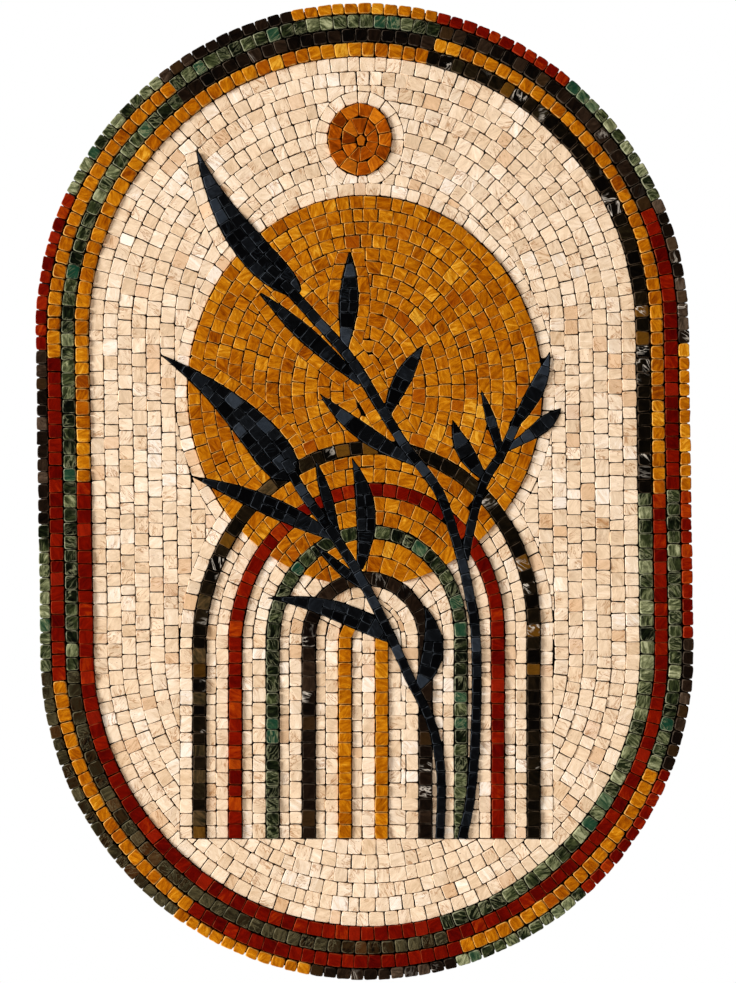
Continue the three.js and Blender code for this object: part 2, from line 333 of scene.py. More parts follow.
def cut(tiles, inside=(), outside=()):
    """What is left of the tiles inside all of some outlines and outside all of some others."""
    if not tiles:
        return []
    shapes = [*tiles, *inside, *outside]
    corners = []
    faces = []
    for shape in shapes:
        faces.append(list(range(len(corners), len(corners) + len(shape))))
        corners += [Vector((p.real, p.imag)) for p in shape]
    found = delaunay_2d_cdt(corners, [], faces, 0, SAME_CORNER, True)
    points = [complex(p.x, p.y) for p in found[0]]
    needed = set(range(len(tiles), len(tiles) + len(inside)))
    barred = set(range(len(tiles) + len(inside), len(shapes)))
    patches = {}
    for triangle, owners in zip(found[2], found[5]):
        owners = set(owners)
        tile = min(owners, default=len(tiles))
        if tile < len(tiles) and needed <= owners and not owners & barred:
            patches.setdefault(tile, []).append(triangle)
    pieces = []
    for tile in sorted(patches):
        for loop in loops(patches[tile]):
            outline = simplify([points[i] for i in loop])
            if area(outline) > SLIVER:
                pieces.append(outline)
    return pieces


def fuse_small(pieces):
    """Small pieces become one stone with the neighbour they fit best, or stay as small stones."""
    pieces = sorted(pieces, key=lambda p: (area(p), p[0].real))
    kept = []
    for number, piece in enumerate(pieces):
        size = area(piece)
        if size > SMALL_STONE:
            kept.append(piece)
            continue
        best = None
        for other in range(number + 1, len(pieces)):
            neighbour = pieces[other]
            if abs(centre(neighbour) - centre(piece)) > FARTHEST_NEIGHBOUR:
                continue
            whole = hull(piece + neighbour)
            waste = area(whole) - size - area(neighbour)
            fits = area(whole) < LARGEST_STONE and longest(whole) < LONGEST_STONE
            if fits and waste < (best[0] if best else WASTE):
                best = (waste, other, whole)
        if best:
            pieces[best[1]] = simplify(best[2])
        elif size > SMALLEST_STONE:
            kept.append(piece)
    return kept


# Lines that the stones follow

def capsule_place(radius, along):
    """A place on an upright capsule line, so far clockwise from its top, and the way out there."""
    quarter = math.pi * radius / 2
    side = 2 * HALF_STRAIGHT
    rest = along % (4 * quarter + 2 * side)
    down = min(max(rest - quarter, 0), side)
    up = min(max(rest - 3 * quarter - side, 0), side)
    turn = (rest - down - up) / radius
    outward = complex(math.sin(turn), math.cos(turn))
    return radius * outward + 1j * (HALF_STRAIGHT - down + up), outward


def capsule_perimeter(radius):
    return TURN * radius + 4 * HALF_STRAIGHT


def capsule_outline(radius, sides=240):
    step = capsule_perimeter(radius) / sides
    return [capsule_place(radius, -i * step)[0] * LEAN for i in range(sides)]


def oval_line(oval, grow=0.0):
    """The line so far outside an oval, as a function of the angle."""
    def point_at(angle):
        across = (oval.half_width + grow) * math.cos(angle)
        return oval.centre + across + 1j * (oval.half_height + grow) * math.sin(angle)

    return point_at


def oval_outline(oval, grow=0.0, sides=120, turn=0.0):
    point_at = oval_line(oval, grow)
    return [point_at(TURN * i / sides + turn) for i in range(sides)]


def grown(arch, grow):
    """The line beside an arch line, so far outside it."""
    return arch._replace(half_span=arch.half_span + grow, rise=arch.rise + grow)


def arch_line(arch):
    """An arch line, as a function of the place on it."""
    def point_at(place):
        if place < 0:
            return complex(arch.middle + arch.half_span, ARCH_SPRINGING + place)
        if place > math.pi:
            return complex(arch.middle - arch.half_span, ARCH_SPRINGING - (place - math.pi))
        across = arch.half_span * math.cos(place) + arch.crown_shift * math.sin(place)
        return complex(arch.middle + across, ARCH_SPRINGING + arch.rise * math.sin(place))

    return point_at


def between(arch, other, share):
    """The arch line at a share of the way from one to another."""
    return Arch(*(lerp(a, b, share) for a, b in zip(arch, other)))


def arch_edge(arch, foot=0.0, steps=48):
    bow = [math.pi * i / steps for i in range(steps + 1)]
    return [arch_line(arch)(place) for place in (RIGHT_FOOT - foot, *bow, LEFT_FOOT + foot)]


def arch_band(arch, grow=0.0):
    half = ARCH_BAND / 2 + grow
    return arch_edge(grown(arch, half), grow) + arch_edge(grown(arch, -half), grow)[::-1]


def evenly(point_at, start, end, steps=600):
    """A function from the share of a line's length to the place on it."""
    places = [lerp(start, end, i / steps) for i in range(steps + 1)]
    lengths = [0.0]
    for a, b in zip(places, places[1:]):
        lengths.append(lengths[-1] + abs(point_at(b) - point_at(a)))

    def place_at(share):
        target = share * lengths[-1]
        low = min(bisect(lengths, target), steps) - 1
        part = (target - lengths[low]) / (lengths[low + 1] - lengths[low])
        return lerp(places[low], places[low + 1], part)

    return place_at, lengths[-1]


class Ribbon:
    """A stem or a leaf: a line with a width, whose places are the share of the line's length."""

    def __init__(self, point_at, half_width):
        self.point_at = point_at
        self.half_width = half_width
        self.place_at, self.length = evenly(point_at, 0, 1)

    def tangent(self, share):
        place = self.place_at(share)
        step = 0.003
        return unit(self.point_at(min(place + step, 1)) - self.point_at(max(place - step, 0)))

    def at(self, share, across):
        """A point so far to the left of the line, at a share of its length."""
        clamped = min(max(share, 0), 1)
        tangent = self.tangent(clamped)
        point = self.point_at(self.place_at(clamped)) + tangent * (share - clamped) * self.length
        return point + 1j * tangent * across

    def outline(self, grow=0.0, steps=26):
        left = []
        right = []
        for i in range(steps + 1):
            share = lerp(-grow, self.length + grow, i / steps) / self.length
            half = self.half_width(min(max(share, 0), 1)) + grow
            left.append(self.at(share, half))
            right.append(self.at(share, -half))
        return simplify(right + left[::-1], slack=0.05)


def beside(ribbon, distance, side=1):
    """How far to the left of a ribbon's line a line beside its edge lies, by the share of the length."""
    return lambda share: side * (ribbon.half_width(min(share, 1)) + distance)


def ribbon_side(ribbon, reach, start, steps=24):
    """The outline of the area between a ribbon's line and a line beside it."""
    shares = [lerp(start, 1, i / steps) for i in range(steps + 1)]
    outline = [ribbon.at(s, reach(s)) for s in shares] + [ribbon.at(s, 0) for s in shares[::-1]]
    return outline if area(outline) > 0 else outline[::-1]


def stem_ribbon(stem):
    """A ribbon along the smooth line through the points of a stem."""
    last = len(stem.points) - 1

    def point_at(share):
        i = min(int(share * last), last - 1)
        t = share * last - i
        a, b, c, d = (stem.points[min(max(i + k, 0), last)] for k in (-1, 0, 1, 2))
        return 0.5 * (2 * b + (c - a) * t + (2 * a - 5 * b + 4 * c - d) * t ** 2
                      + (3 * b - a - 3 * c + d) * t ** 3)

    return Ribbon(point_at, lambda share: lerp(stem.foot_width, stem.tip_width, share) / 2)


def leaf_ribbon(leaf):
    """A ribbon along the bent line of a leaf, with a stalk that ends where the blade does."""
    middle = (leaf.base + leaf.tip) / 2
    control = middle + unit(leaf.tip - leaf.base) * 1j * 2 * leaf.bend
    fullness = math.log(0.5) / math.log(leaf.widest)

    def point_at(share):
        return lerp(lerp(leaf.base, control, share), lerp(control, leaf.tip, share), share)

    def half_width(share):
        stalk = LEAF_STALK / 2 * (1 - share)
        blade = (leaf.width - LEAF_STALK / 2) / 2 * math.sin(math.pi * share ** fullness)
        return stalk + max(blade, 0)

    return Ribbon(point_at, half_width)


# Laying of stones

def joints(total, length, rng, unevenness=0.15):
    """Places of the joints along a row, as shares of it."""
    count = max(1, round(total / length))
    inner = [(i + rng.uniform(-unevenness, unevenness)) / count for i in range(1, count)]
    return [0.0, *inner, 1.0]


def tile(corners, rng, gap=HALF_JOINT):
    """A stone's raw outline: each side is drawn in by its own half joint, and turned a little."""
    if area(corners) < 0:
        corners = corners[::-1]
    sides = []
    for start, end in zip(corners, corners[1:] + corners[:1]):
        along = unit(end - start)
        inset = gap * rng.uniform(*GAP_RANGE)
        turned = along * cmath.exp(1j * rng.gauss(0, SIDE_TURN))
        sides.append(((start + end) / 2 + 1j * along * inset, turned))
    moved = []
    for (place, along), (next_place, next_along) in zip(sides[-1:] + sides[:-1], sides):
        share = cross(next_place - place, next_along) / cross(along, next_along)
        moved.append(place + along * share)
    return moved


def strip(edge_a, edge_b, places, rng, slant=0.0):
    """A row of stones between two lines, cut at some places along them."""
    shifts = [rng.uniform(-slant, slant) for _ in places]
    side_a = [edge_a(place + shift) for place, shift in zip(places, shifts)]
    side_b = [edge_b(place - shift) for place, shift in zip(places, shifts)]
    corners = zip(side_a, side_a[1:], side_b[1:], side_b)
    return [tile(list(four), rng) for four in corners]


def row_between(edge_a, edge_b, start, end, length, rng):
    """A row of stones between two lines, from one place along them to another."""
    place_at, total = evenly(lambda place: lerp(edge_a(place), edge_b(place), 0.5), start, end)
    places = [place_at(share) for share in joints(total, length, rng)]
    return strip(edge_a, edge_b, places, rng)


def capsule_row(outer, inner, start, ends, rng):
    """A row of stones along a capsule line, from one joint to the next."""
    middle = (outer + inner) / 2

    def edge(radius):
        def point(along):
            place, outward = capsule_place(middle, start + along)
            return (place + outward * (radius - middle)) * LEAN
        return point

    return strip(edge(outer), edge(inner), ends, rng, BORDER_SLANT)


def oval_row(oval, outer, inner, length, rng, turn=0.0):
    return row_between(oval_line(oval, outer), oval_line(oval, inner), turn, turn + TURN, length, rng)


def arch_row(outer, inner, rng, start=RIGHT_FOOT, end=LEFT_FOOT):
    return row_between(arch_line(outer), arch_line(inner), start, end, STONE_PITCH, rng)


def ribbon_row(ribbon, near, far, rng, start=0.0):
    """A row of stones beside or on a ribbon: its edges lie so far to the left of the line."""
    total = ribbon.length * (1 - start)
    places = [lerp(start, 1, share) for share in joints(total, STONE_PITCH, rng)]
    return strip(lambda s: ribbon.at(s, near(s)), lambda s: ribbon.at(s, far(s)), places, rng)


def leaf_stones(ribbon, rng):
    """The stones of a leaf: across it there are as many as its width takes."""
    places = joints(ribbon.length, LEAF_STONE_LENGTH, rng)
    stones = []
    for start, end in zip(places, places[1:]):
        half = ribbon.half_width((start + end) / 2)
        lanes = max(1, round(2 * half / LEAF_STONE_WIDTH))
        bounds = [lerp(-1, 1, lane / lanes) for lane in range(lanes + 1)]
        for low, high in zip(bounds, bounds[1:]):
            places_across = ((start, low), (end, low), (end, high), (start, high))
            corners = [ribbon.at(share, side * ribbon.half_width(share)) for share, side in places_across]
            corners = [c for i, c in enumerate(corners) if abs(c - corners[i - 1]) > SHORTEST_SIDE]
            if len(corners) > 2:
                stones.append(tile(corners, rng, LEAF_HALF_JOINT))
    return stones


# The mosaic

SPRIG_RIBBONS = {
    side: {
        "stems": [stem_ribbon(stem) for stem in sprig["stems"]],
        "leaves": [leaf_ribbon(leaf) for leaf in sprig["leaves"]],
    }
    for side, sprig in SPRIGS.items()
}
PICTURE = [
    ribbon.outline(CLEARANCE)
    for sprig in SPRIG_RIBBONS.values()
    for ribbon in sprig["stems"] + sprig["leaves"]
]


def row_radii(row):
    outer = OUTER_RADIUS - sum(width + JOINT for width in ROW_WIDTHS[:row])
    return outer, outer - ROW_WIDTHS[row]


FIELD_RADIUS = row_radii(len(ROW_WIDTHS) - 1)[1] - JOINT
ARCH_OUTER = grown(ARCHES["brown"], ARCH_BAND / 2)


def lay_border():
    """The stones of each border run, by its row, its number there and its colour."""
    rng = random.Random(11)
    runs = {}
    for row, (start_angle, colours) in enumerate(BORDER_ROWS):
        outer, inner = row_radii(row)
        middle = (outer + inner) / 2
        pitch = capsule_perimeter(middle) / sum(count for _, count in colours)
        along = math.radians(start_angle) * middle
        for number, (colour, count) in enumerate(colours, 1):
            length = count * pitch
            ends = [share * length for share in joints(length, pitch, rng, BORDER_UNEVENNESS)]
            stones = capsule_row(outer - BORDER_INSET, inner - JOINT / 2, along, ends, rng)
            runs[row + 1, number, colour] = stones
            along += length
    return runs


def lay_field():
    """Cream stones: rows that follow the border, and single rows around parts of the picture."""
    rng = random.Random(23)
    arch_reach = grown(ARCH_OUTER, JOINT + RING_WIDTH)
    arch_ring = arch_row(arch_reach, grown(ARCH_OUTER, JOINT / 2), rng)
    disc_ring = oval_row(DISC, RING_REACH, JOINT / 2, STONE_PITCH, rng, turn=0.3)
    sun_ring = oval_row(SUN, RING_REACH, JOINT / 2, STONE_PITCH, rng)
    leaf = SPRIG_RIBBONS["right"]["leaves"][0]
    leaf_reach = beside(leaf, RING_REACH)
    leaf_ring = ribbon_row(leaf, beside(leaf, JOINT / 2), leaf_reach, rng, LEAF_RING_START)

    arch_area = arch_edge(arch_reach, ARCH_FOOT_GAP)
    disc_area = oval_outline(DISC, RING_REACH)
    rings = [
        (arch_ring, [oval_outline(DISC, CLEARANCE), *PICTURE]),
        (disc_ring, [arch_area, *PICTURE]),
        (sun_ring, [disc_area]),
        (leaf_ring, [disc_area, *PICTURE]),
    ]
    ring_stones = []
    for ring, taken in rings:
        ring_stones += fuse_small(cut(ring, outside=taken))

    rows = []
    radius = FIELD_RADIUS + JOINT / 2
    while radius > FIELD_PITCH:
        inner = radius - FIELD_PITCH
        total = capsule_perimeter((radius + inner) / 2)
        ends = [share * total for share in joints(total, FIELD_STONE_LENGTH, rng)]
        rows += capsule_row(radius, inner, rng.uniform(0, FIELD_ROW_SHIFT), ends, rng)
        radius = inner
    sun_area = oval_outline(SUN, RING_REACH)
    leaf_area = ribbon_side(leaf, leaf_reach, LEAF_RING_START, steps=13)
    taken = [arch_area, disc_area, sun_area, leaf_area, *PICTURE]
    field = cut(rows, inside=[capsule_outline(FIELD_RADIUS + FIELD_SPREAD)], outside=taken)
    return fuse_small(field), ring_stones


def lay_between_arches():
    """Rows of stones between the arches: ochre inside the disc and cream outside it."""
    rng = random.Random(31)
    tiles = []
    half_band = ARCH_BAND / 2 + JOINT / 2
    sides = {"right": (RIGHT_FOOT, math.pi / 2), "left": (math.pi / 2, LEFT_FOOT)}
    arches = list(ARCHES.values())
    for number, (outer, inner) in enumerate(zip(arches, arches[1:])):
        far = grown(outer, -half_band)
        near = grown(inner, half_band)
        for side, (start, end) in sides.items():
            lines = [between(far, near, share) for share in LANES[side][number]]
            for line, next_line in zip(lines, lines[1:]):
                tiles += arch_row(line, next_line, rng, start, end)

    opening = grown(arches[-1], -half_band)
    left = opening.middle - opening.half_span
    right = opening.middle + opening.half_span
    split = opening.middle - INNER_SPLIT * opening.half_span
    top = ARCH_SPRINGING + opening.rise
    for low, high in ((left, split), (split, right)):
        places = [lerp(ARCH_FOOT, top, share) for share in joints(top - ARCH_FOOT, STONE_PITCH, rng)]
        tiles += strip(lambda z: complex(low, z), lambda z: complex(high, z), places, rng)

    disc = oval_outline(DISC)
    taken = [*(arch_band(arch, JOINT / 2) for arch in arches), *PICTURE]
    cream = cut(tiles, outside=[disc, *taken])
    ochre = cut(tiles, inside=[disc], outside=taken)
    return fuse_small(cream), fuse_small(ochre)


def lay_disc():
    """The disc: rows along the stems and the outer arch, and oval rows from its edge inward."""
    rng = random.Random(37)
    edge = oval_outline(DISC)
    arch_reach = grown(ARCH_OUTER, JOINT / 2 + DISC_PITCH)
    arch_ring = arch_row(arch_reach, grown(ARCH_OUTER, JOINT / 2), rng)
    arch_area = arch_edge(arch_reach)
    stones = cut(arch_ring, inside=[edge], outside=PICTURE)
    taken = [arch_area]
    for sprig, kind, number, start, sides in FOLLOWED:
        ribbon = SPRIG_RIBBONS[sprig][kind][number]
        for side in sides:
            reach = beside(ribbon, JOINT / 2 + FOLLOWING_WIDTH, side)
            row = ribbon_row(ribbon, beside(ribbon, JOINT / 2, side), reach, rng, start)
            stones += cut(row, inside=[edge], outside=[*taken, *PICTURE])
            taken.append(ribbon_side(ribbon, reach, start))
    rings = []
    depth = 0.0
    while DISC.half_width - depth > DISC_PITCH:
        turn = rng.uniform(0, DISC_ROW_TURN)
        rings += oval_row(DISC, -depth, -depth - DISC_PITCH, STONE_PITCH, rng, turn)
        depth += DISC_PITCH
    main = cut(rings, outside=[*taken, *PICTURE])
    return fuse_small(stones) + fuse_small(main)


def lay_sun():
    """The sun: an outer and an inner ring of stones, around one stone in the middle."""
    rng = random.Random(41)
    outer = oval_row(SUN, JOINT / 2, -SUN_RING, SUN_OUTER_LENGTH, rng, turn=0.2)
    place_at, total = evenly(oval_line(SUN, -1.4 * SUN_RING), SUN_START, SUN_START + TURN)
    places = [place_at(share) for share in joints(total, SUN_INNER_LENGTH, rng)]
    inner = strip(oval_line(SUN, -SUN_RING), oval_line(SUN_CORE), places, rng)
    return outer + inner + [oval_outline(SUN_CORE, -JOINT, sides=5, turn=0.3)]


def lay_arches():
    """The stones of each arch, cut by the sprigs that lie over it."""
    rng = random.Random(43)
    half = ARCH_BAND / 2 + ARCH_SPREAD
    arches = {}
    for colour, arch in ARCHES.items():
        row = arch_row(grown(arch, half), grown(arch, -half), rng)
        arches[colour] = fuse_small(cut(row, outside=PICTURE))
    return arches


def lay_sprigs():
    """The stones of each sprig: stems lie over leaves, and each leaf over the ones after it."""
    rng = random.Random(47)
    laid = {}
    for side, sprig in SPRIG_RIBBONS.items():
        stones = []
        above = []
        for stem in sprig["stems"]:
            row = ribbon_row(stem, beside(stem, STEM_SPREAD), beside(stem, STEM_SPREAD, -1), rng)
            stones += cut(row, outside=above)
            above.append(stem.outline(CLEARANCE))
        for leaf in sprig["leaves"]:
            stones += fuse_small(cut(leaf_stones(leaf, rng), outside=above))
            above.append(leaf.outline(CLEARANCE))
        laid[side] = stones
    return laid


# Stones as solids

def to_metres(spot, depth):
    """A spot of the picture plane, so many millimetres in front of the back, as a point."""
    return spot.real * MM, -depth * MM, spot.imag * MM


def add_object(name, data):
    made = bpy.data.objects.new(name, data)
    bpy.context.collection.objects.link(made)
    return made


def add_mesh(name, points, faces):
    mesh = bpy.data.meshes.new(name)
    mesh.from_pydata(points, [], faces)
    return add_object(name, mesh)


def prism(points, faces, sections):
    """Adds a closed bar through some sections, each a list of points in the same order."""
    first = len(points)
    count = len(sections[0])
    for section in sections:
        points += section
    for ring in range(len(sections) - 1):
        low = first + ring * count
        for i in range(count):
            j = (i + 1) % count
            faces.append((low + i, low + j, low + count + j, low + count + i))
    faces.append(tuple(range(first + count - 1, first - 1, -1)))
    faces.append(tuple(range(len(points) - count, len(points))))


def worn(outline, finish, rng):
    """The outline with its corners rounded off and its sides a little uneven."""
    points = []
    count = len(outline)
    for i, here in enumerate(outline):
        before, after = outline[i - 1], outline[(i + 1) % count]
        radius = finish["corner"] * rng.uniform(*CORNER_RANGE)
        start = here + unit(before - here) * min(radius, MOST_WORN * abs(before - here))
        end = here + unit(after - here) * min(radius, MOST_WORN * abs(after - here))
        points += [start, (start + end) / 4 + here / 2, end]
        if abs(after - here) > CHIPPED_SIDE:
            chip = 1j * unit(after - here) * rng.uniform(-finish["chip"], finish["chip"])
            points.append(lerp(here, after, rng.uniform(*CHIP_PLACES)) + chip)
    return points


class StoneMesh:
    """Collects stones and makes one mesh of them, with a tone, a seed and a rim share at each point; the
    paler rim is partly worn edge and partly a painted highlight.
    """

    def __init__(self):
        self.points = []
        self.faces = []
        self.smooth = []
        self.values = {"tone": [], "seed": [], "rim_wear_and_highlight": []}

    def add(self, outline, depth, finish, tone, rng):
        outline = worn(outline, finish, rng)
        middle = centre(outline)
        reach = math.sqrt(max(area(outline), LEAST_SIDE ** 2)) / 2
        height = depth - finish["sink"] - rng.uniform(0, 1) ** HEIGHT_POWER * finish["uneven"]
        lean = complex(rng.gauss(0, finish["tilt"]), rng.gauss(0, finish["tilt"]))
        bevel = min(finish["bevel"] * rng.uniform(*BEVEL_RANGE), MOST_BEVEL * reach)
        seed = rng.random()
        sections = [[to_metres(spot, BED_DEPTH - FOOT_DEPTH) for spot in outline]]
        rims_wear_and_highlight = [0.0]
        for inset, drop, rim_wear_and_highlight in EDGE_STEPS:
            section = []
            for point in outline:
                spot = middle + (point - middle) * (1 - inset * bevel / reach)
                top = min(height + dot(lean, spot - middle), depth - LEAST_DROP)
                section.append(to_metres(spot, BED_DEPTH + top - drop * bevel))
            sections.append(section)
            rims_wear_and_highlight.append(rim_wear_and_highlight)
        prism(self.points, self.faces, sections)
        count = len(outline)
        self.smooth += [True] * (len(EDGE_STEPS) * count) + [False, False]
        self.values["tone"] += [tone] * (len(rims_wear_and_highlight) * count)
        self.values["seed"] += [seed] * (len(rims_wear_and_highlight) * count)
        self.values["rim_wear_and_highlight"] += [rim_wear_and_highlight for rim_wear_and_highlight in rims_wear_and_highlight for _ in range(count)]

    def build(self, name):
        piece = add_mesh(name, self.points, self.faces)
        piece.data.polygons.foreach_set("use_smooth", self.smooth)
        for key, values in self.values.items():
            piece.data.attributes.new(key, "FLOAT", "POINT").data.foreach_set("value", values)
        piece.data.update()
        return piece


# Stone materials

def linear(colour):
    """An sRGB colour, 0 to 255, as the linear values that a shader takes."""
    parts = []
    for value in colour:
        value /= 255
        parts.append(value / 12.92 if value <= 0.04045 else ((value + 0.055) / 1.055) ** 2.4)
    return (*parts, 1.0)


class Nodes:
    """Short calls for making and linking the nodes of one material."""

    def __init__(self, tree):
        self.tree = tree
        tree.nodes.clear()

    def add(self, kind, inputs=None, **settings):
        made = self.tree.nodes.new(kind)
        for key, value in settings.items():
            setattr(made, key, value)
        for key, value in (inputs or {}).items():
            self.put(made.inputs[key], value)
        return made

    def put(self, socket, value):
        if isinstance(value, bpy.types.NodeSocket):
            self.tree.links.new(value, socket)
        else:
            socket.default_value = value

    def math(self, operation, a, b=0.0):
        return self.add("ShaderNodeMath", {0: a, 1: b}, operation=operation).outputs[0]

    def product(self, *factors):
        result = factors[0]
        for factor in factors[1:]:
            result = self.math("MULTIPLY", result, factor)
        return result

    def object_place(self):
        return self.add("ShaderNodeTexCoord").outputs["Object"]

    def attribute(self, name):
        return self.add("ShaderNodeAttribute", attribute_name=name).outputs["Fac"]

    def noise(self, vector, scale, detail=3.0, roughness=0.55, distortion=0.0):
        made = self.add("ShaderNodeTexNoise", {
            "Vector": vector, "Scale": scale, "Detail": detail, "Roughness": roughness,
            "Distortion": distortion,
        })
        return made.outputs["Fac"]

    def spread(self, value, low, high, out_low=0.0, out_high=1.0):
        made = self.add("ShaderNodeMapRange", {
            "Value": value, "From Min": low, "From Max": high, "To Min": out_low,
            "To Max": out_high,
        })
        return made.outputs["Result"]

    def ramp(self, value, stops):
        made = self.add("ShaderNodeValToRGB", {"Fac": value})
        elements = made.color_ramp.elements
        while len(elements) < len(stops):
            elements.new(1.0)
        for element, (position, colour) in zip(elements, stops):
            element.position = position
            element.color = linear(colour)
        return made.outputs["Color"]

    def mix(self, share, a, b, blend="MIX"):
        inputs = {"Factor": share, 6: a, 7: b}
        return self.add("ShaderNodeMix", inputs, data_type="RGBA", blend_type=blend).outputs[2]

    def surface(self, colour, roughness, height, strength, distance, specular=0.5):
        """The end of a material: a surface with bumps of some height."""
        bump = self.add("ShaderNodeBump", {"Height": height, "Strength": strength, "Distance": distance})
        shader = self.add("ShaderNodeBsdfPrincipled", {
            "Base Color": colour, "Roughness": roughness, "Normal": bump.outputs[0],
            "Specular IOR Level": specular,
        })
        self.add("ShaderNodeOutputMaterial", {"Surface": shader.outputs[0]})


def new_material(name):
    material = bpy.data.materials.new(name)
    material.use_nodes = True
    return material, Nodes(material.node_tree)


# A stone's look: the colours of its palette, how far they swirl and how mottled they are, its
# veins, the odd stones of another colour, its specks, and its paler rim, which is partly worn edge
# and partly a painted highlight on the bevel. These values hold where a stone gives none of its own.
USUAL_LOOK = dict(
    swirl=0.7, cloud_scale=200, mottle=0.35, vein_scale=110, vein_area=0.5,
    vein_width=0.035, odd_share=0.6, speck_share=0.3, rim_wear_and_highlight_share=0.38, roughness=0.45,
)
STONES = {
    "cream": dict(
        tones=[(0.0, (211, 174, 134)), (0.2, (227, 195, 158)), (0.6, (243, 216, 184)),
               (0.85, (250, 228, 202)), (1.0, (254, 240, 224))],
        swirl=1.1, cloud_scale=190, mottle=0.1,
        vein=(168, 114, 64), veined_from=0.0, vein_share=0.85, vein_area=0.47,
        odd=(222, 176, 130), odd_from=0.94,
        speck=(118, 72, 40), speck_share=0.55,
        rim_wear_and_highlight=(255, 241, 220), rim_wear_and_highlight_share=0.7, roughness=0.6,
    ),
    "ochre": dict(
        tones=[(0.0, (126, 54, 2)), (0.2, (152, 76, 1)), (0.5, (177, 100, 4)),
               (0.8, (200, 126, 14)), (1.0, (222, 160, 46))],
        swirl=1.7, cloud_scale=230, mottle=0.16,
        vein=(112, 50, 2), veined_from=0.1, vein_share=0.5, vein_scale=150,
        odd=(150, 62, 4), odd_from=0.95, odd_share=0.55,
        speck=(80, 36, 4), speck_share=0.4,
        rim_wear_and_highlight=(238, 190, 104), rim_wear_and_highlight_share=0.75, roughness=0.5,
    ),
    "burnt_orange": dict(
        tones=[(0.0, (112, 42, 0)), (0.5, (168, 76, 3)), (1.0, (212, 122, 20))],
        swirl=1.5, mottle=0.2,
        vein=(92, 36, 0), veined_from=0.2, vein_share=0.4,
        odd=(196, 112, 20), odd_from=0.85, odd_share=0.5,
        speck=(76, 28, 2),
        rim_wear_and_highlight=(238, 172, 80), rim_wear_and_highlight_share=0.7, roughness=0.5,
    ),
    "red": dict(
        tones=[(0.0, (72, 1, 0)), (0.35, (104, 8, 0)), (0.6, (124, 18, 1)),
               (0.75, (150, 46, 3)), (1.0, (180, 80, 7))],
        swirl=0.6, cloud_scale=190, mottle=0.24,
        vein=(66, 2, 1), veined_from=0.3, vein_share=0.35,
        odd=(146, 30, 8), odd_from=0.9, odd_share=0.5,
        speck=(54, 1, 1),
        rim_wear_and_highlight=(198, 98, 54),
    ),
    "green": dict(
        tones=[(0.0, (5, 8, 4)), (0.3, (20, 26, 12)), (0.6, (54, 61, 34)),
               (0.85, (116, 120, 84)), (1.0, (158, 160, 124))],
        swirl=1.7,
        vein=(148, 150, 112), veined_from=0.0, vein_share=0.6, vein_scale=120,
        vein_area=0.42, vein_width=0.045,
        odd=(26, 74, 54), odd_from=0.88,
        speck=(8, 12, 7), speck_share=0.5,
        rim_wear_and_highlight=(190, 190, 156), rim_wear_and_highlight_share=0.52,
    ),
    "olive": dict(
        tones=[(0.0, (6, 5, 4)), (0.25, (44, 28, 11)), (0.55, (39, 34, 20)), (1.0, (78, 70, 46))],
        swirl=1.3, cloud_scale=220, mottle=0.3,
        vein=(122, 114, 84), veined_from=0.1, vein_share=0.5, vein_scale=180,
        vein_area=0.42,
        odd=(78, 44, 16), odd_from=0.86,
        speck=(14, 12, 8), speck_share=0.35,
        rim_wear_and_highlight=(146, 138, 108), rim_wear_and_highlight_share=0.45, roughness=0.5,
    ),
    "brown": dict(
        tones=[(0.0, (5, 3, 2)), (0.3, (13, 9, 4)), (0.55, (27, 19, 9)),
               (0.72, (38, 33, 18)), (1.0, (92, 70, 42))],
        vein=(214, 204, 190), veined_from=0.7, vein_share=0.9, vein_scale=72,
        vein_area=0.44, vein_width=0.042,
        odd=(112, 72, 16), odd_from=0.92, odd_share=0.7,
        speck=(8, 6, 4),
        rim_wear_and_highlight=(132, 110, 88),
    ),
    "dark": dict(
        tones=[(0.0, (6, 4, 3)), (0.5, (27, 17, 10)), (0.8, (46, 33, 23)), (1.0, (84, 68, 54))],
        vein=(206, 196, 182), veined_from=0.84, vein_share=0.9, vein_scale=72,
        vein_area=0.46, vein_width=0.042,
        odd=(58, 38, 16), odd_from=0.86,
        speck=(5, 4, 3),
        rim_wear_and_highlight=(124, 108, 92),
    ),
    "slate": dict(
        tones=[(0.0, (2, 2, 3)), (0.45, (8, 9, 11)), (0.75, (20, 23, 27)), (1.0, (46, 52, 60))],
        swirl=0.5, cloud_scale=170, mottle=0.25,
        vein=(60, 70, 80), veined_from=0.6, vein_share=0.2, vein_scale=85,
        odd=(52, 60, 70), odd_from=0.94,
        speck=(2, 2, 3), speck_share=0.2,
        rim_wear_and_highlight=(112, 120, 130), rim_wear_and_highlight_share=0.34, roughness=0.5,
    ),
}

# Scales of the patterns that all stones share, and the values that most of a noise lies between
VEIN_AREA_SCALE = 60
# The rim patches break up the paler rim, which is partly wear and partly a painted highlight
RIM_PATCH_SCALE = 170
SPECK_SCALE = 620
GRAIN_SCALE = 1100
MOST_NOISE = (0.3, 0.7)

# Each stone is cut from its own place in the patterns, turned its own way, and has a lot that
# says whether it is an odd one
SEED_STEPS = (9.7, 23.3)
TONE_STEP = 6.1
LOT_STEP = 7.31

# How much finer the layers of a stone are across them than along them
LAYERS = (0.5, 1.0, 1.7)


def stone_places(nodes, seed, tone):
    """Where a stone is in the even patterns, and where in the layered ones."""
    away = nodes.add("ShaderNodeCombineXYZ", {
        "X": nodes.product(seed, SEED_STEPS[0]),
        "Y": nodes.product(tone, TONE_STEP),
        "Z": nodes.product(seed, SEED_STEPS[1]),
    }).outputs[0]
    place = nodes.add("ShaderNodeVectorMath", {0: nodes.object_place(), 1: away}, operation="ADD")
    turned = nodes.add("ShaderNodeVectorRotate", {
        "Vector": place.outputs[0], "Angle": nodes.product(seed, 2 * TURN),
    }, rotation_type="Y_AXIS")
    layered = nodes.add("ShaderNodeVectorMath", {0: turned.outputs[0], 1: LAYERS}, operation="MULTIPLY")
    return place.outputs[0], layered.outputs[0]


